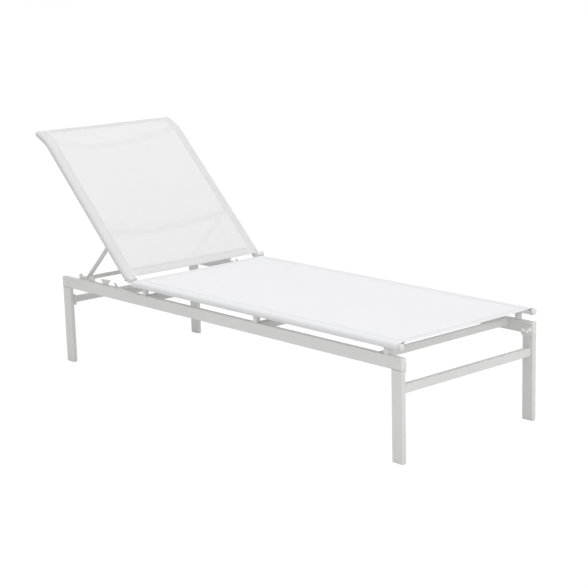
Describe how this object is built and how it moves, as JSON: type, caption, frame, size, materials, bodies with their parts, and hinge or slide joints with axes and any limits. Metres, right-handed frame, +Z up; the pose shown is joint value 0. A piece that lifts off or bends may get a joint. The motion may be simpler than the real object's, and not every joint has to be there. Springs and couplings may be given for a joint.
{
  "type": "sun lounger",
  "caption": "Reclining sun lounger: flat sling seat and hinged sling backrest on a low four-legged aluminium frame, with a swinging prop and toothed racks.",
  "frame": {"origin": "on the floor under the centre of the bounding box at rest", "axes": "+X towards the foot end, +Y to the far side rail, +Z up"},
  "size_m": [1.9503, 0.6524, 0.8913],
  "materials": {
    "coat": "white powder coat, satin",
    "sling": "white woven PVC-coated mesh, matt",
    "plug": "white moulded plastic, matt",
    "bolt": "stainless steel, satin"
  },
  "bodies": {
    "root": {"side_rail_near": "coat", "rail_plug_near_head": "plug", "rail_plug_near_foot": "plug", "leg_near_head": "coat", "leg_near_foot": "coat", "glide_near_head": "plug", "glide_near_foot": "plug", "corner_plate_near_head": "coat", "corner_plate_near_foot": "coat", "rack_near": "coat", "post_near_head": "coat", "post_near_middle": "coat", "post_near_foot": "coat", "seat_tube_near": "coat", "seat_plug_near": "plug", "hinge_plate_near": "coat", "hinge_bolt_near": "coat", "side_rail_far": "coat", "rail_plug_far_head": "plug", "rail_plug_far_foot": "plug", "leg_far_head": "coat", "leg_far_foot": "coat", "glide_far_head": "plug", "glide_far_foot": "plug", "corner_plate_far_head": "coat", "corner_plate_far_foot": "coat", "rack_far": "coat", "post_far_head": "coat", "post_far_middle": "coat", "post_far_foot": "coat", "seat_tube_far": "coat", "seat_plug_far": "plug", "hinge_plate_far": "coat", "hinge_bolt_far": "coat", "foot_stretcher": "coat", "head_stretcher": "coat", "crossbar_hinge": "coat", "crossbar_head": "coat", "crossbar_middle": "coat", "crossbar_foot": "coat", "seat_sling": "sling"},
    "backrest": {"spreader_lower": "coat", "spreader_upper": "coat", "back_sling": "sling", "back_tube_near": "coat", "back_plug_near": "plug", "hinge_lug_near": "coat", "prop_bracket_near": "coat", "back_tube_far": "coat", "back_plug_far": "plug", "hinge_lug_far": "coat", "prop_bracket_far": "coat"},
    "prop": {"prop_bar": "coat", "prop_arm_near": "coat", "prop_pin_near": "bolt", "prop_plug_near": "plug", "prop_arm_far": "coat", "prop_pin_far": "bolt", "prop_plug_far": "plug"}
  },
  "joints": [
    {"name": "backrest_recline", "type": "hinge", "parent": "root", "child": "backrest", "pos_m": [-0.404, 0, 0.3845], "axis": [0, 1, 0], "range_deg": [-44.2, 21]},
    {"name": "prop_swing", "type": "hinge", "parent": "backrest", "child": "prop", "pos_m": [-0.59417, 0, 0.4969], "axis": [0, 1, 0], "range_deg": [-45, 92]}
  ],
  "couplings": [
    {"joint": "prop_swing", "follows": "backrest_recline", "ratio": -1.9887}
  ]
}
